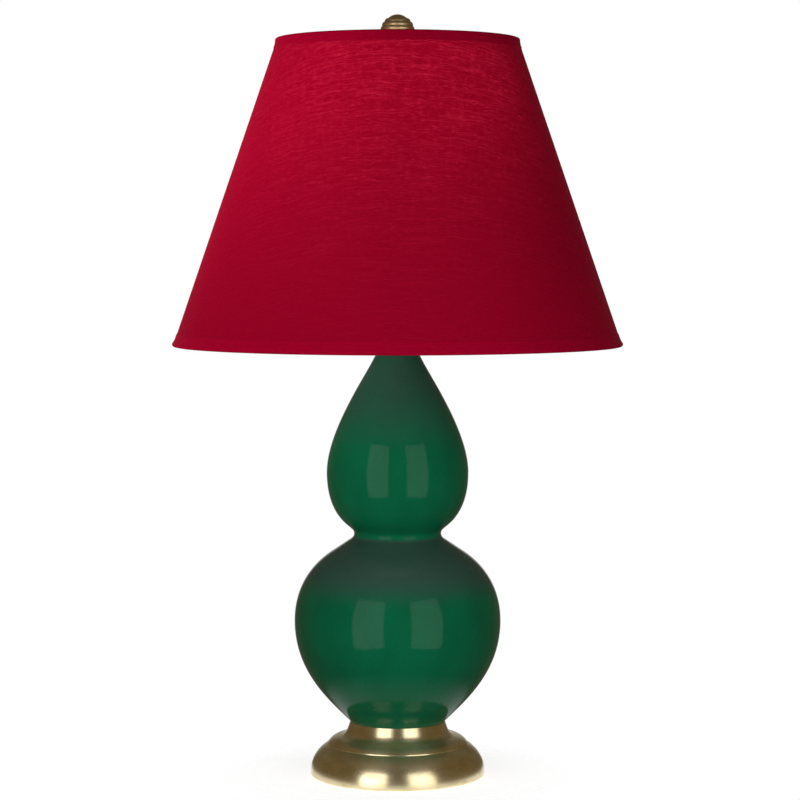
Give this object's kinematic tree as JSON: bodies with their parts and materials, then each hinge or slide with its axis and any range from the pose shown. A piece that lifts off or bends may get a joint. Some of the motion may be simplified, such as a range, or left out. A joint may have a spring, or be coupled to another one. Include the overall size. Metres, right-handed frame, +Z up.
{
  "type": "table lamp",
  "caption": "Table lamp with a glazed double gourd body on a stepped brass base, a fabric empire shade on a harp and a ribbed dome finial.",
  "frame": {"origin": "centre of the underside of the felt pad, on the surface that the lamp stands on", "axes": "+Z up along the lamp's axis; the switch knob points to -Y, the cord inlet to +Y; the harp lies in the XZ plane"},
  "size_m": [0.4633, 0.4634, 0.7853],
  "materials": {
    "felt": "matte",
    "cast_iron": "rough",
    "satin_brass": "satin",
    "antique_brass": "antique satin",
    "socket_brass": "bright",
    "black_plastic": "matte",
    "zinc_steel": "satin",
    "rubber": "matte",
    "green_glaze": "gloss",
    "insulating_paper": "matte",
    "phenolic": "satin",
    "bright_aluminium": "bright",
    "frosted_glass": "frosted",
    "red_fabric": "woven",
    "styrene": "satin"
  },
  "bodies": {
    "lamp": {"felt_pad": "felt", "base_weight": "cast_iron", "brass_base": "satin_brass", "cord_bushing": "black_plastic", "lamp_rod": "zinc_steel", "rod_nut": "zinc_steel", "rod_washer": "zinc_steel", "seat_gasket": "rubber", "gourd_body": "green_glaze", "vase_cap": "satin_brass", "neck": "satin_brass", "locknut": "satin_brass", "harp_saddle": "satin_brass", "harp": "satin_brass", "harp_stud": "satin_brass", "socket_cap": "socket_brass", "set_screw": "zinc_steel", "socket_shell": "socket_brass", "socket_liner": "insulating_paper", "socket_core": "phenolic", "terminal_screws": "socket_brass", "screw_shell": "bright_aluminium", "centre_contact": "socket_brass"},
    "ferrule_left": {"ferrule_left": "satin_brass"},
    "ferrule_right": {"ferrule_right": "satin_brass"},
    "switch": {"switch_shaft": "socket_brass", "switch_knob": "phenolic"},
    "bulb": {"bulb_contact": "socket_brass", "bulb_insulator": "phenolic", "bulb_base": "bright_aluminium", "bulb_glass": "frosted_glass"},
    "shade": {"shade_fabric": "red_fabric", "shade_liner": "styrene", "shade_bottom_ring": "zinc_steel", "shade_bottom_trim": "red_fabric", "shade_top_trim": "red_fabric", "spider_fitter": "satin_brass"},
    "finial": {"finial": "antique_brass"}
  },
  "joints": [
    {"name": "ferrule_left_slide", "type": "slide", "parent": "lamp", "child": "ferrule_left", "axis": [0, 0, 1], "range_m": [0, 0.012]},
    {"name": "ferrule_right_slide", "type": "slide", "parent": "lamp", "child": "ferrule_right", "axis": [0, 0, 1], "range_m": [0, 0.012]},
    {"name": "switch_turn", "type": "hinge", "parent": "lamp", "child": "switch", "pos_m": [0, -0.02, 0.511], "axis": [0, -1, 0], "continuous": true},
    {"name": "bulb_turn", "type": "hinge", "parent": "lamp", "child": "bulb", "pos_m": [0, 0, 0.53], "axis": [0, 0, 1], "continuous": true},
    {"name": "shade_turn", "type": "hinge", "parent": "lamp", "child": "shade", "pos_m": [0, 0, 0.745], "axis": [0, 0, 1], "continuous": true},
    {"name": "finial_turn", "type": "hinge", "parent": "lamp", "child": "finial", "pos_m": [0, 0, 0.75], "axis": [0, 0, 1], "continuous": true}
  ]
}
